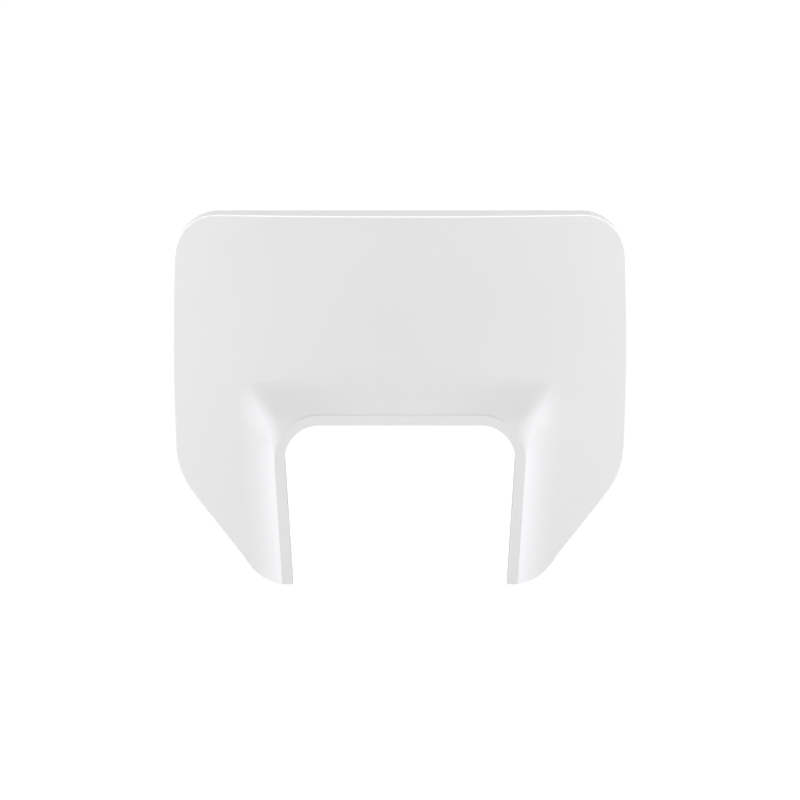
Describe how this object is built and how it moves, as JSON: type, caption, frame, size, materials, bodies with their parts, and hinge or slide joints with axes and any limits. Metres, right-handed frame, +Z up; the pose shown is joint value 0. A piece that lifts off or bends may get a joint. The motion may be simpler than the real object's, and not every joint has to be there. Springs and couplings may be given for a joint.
{
  "type": "headlight mask",
  "caption": "One-piece moulded motorbike headlight mask: a curved number plate face over a U-shaped lamp opening with a flat rim, slanted cheeks and walls that run back round the edge.",
  "frame": {"origin": "centre of the four lamp screws, on the plane of their boss ends behind the plate", "axes": "+X to the right seen from the front, +Y to the rear, +Z up; the face looks towards -Y"},
  "size_m": [0.262, 0.056, 0.2131],
  "materials": {
    "white_plastic": "white, satin gloss, moulded"
  },
  "bodies": {
    "root": {"headlight_mask": "white_plastic"}
  },
  "joints": []
}
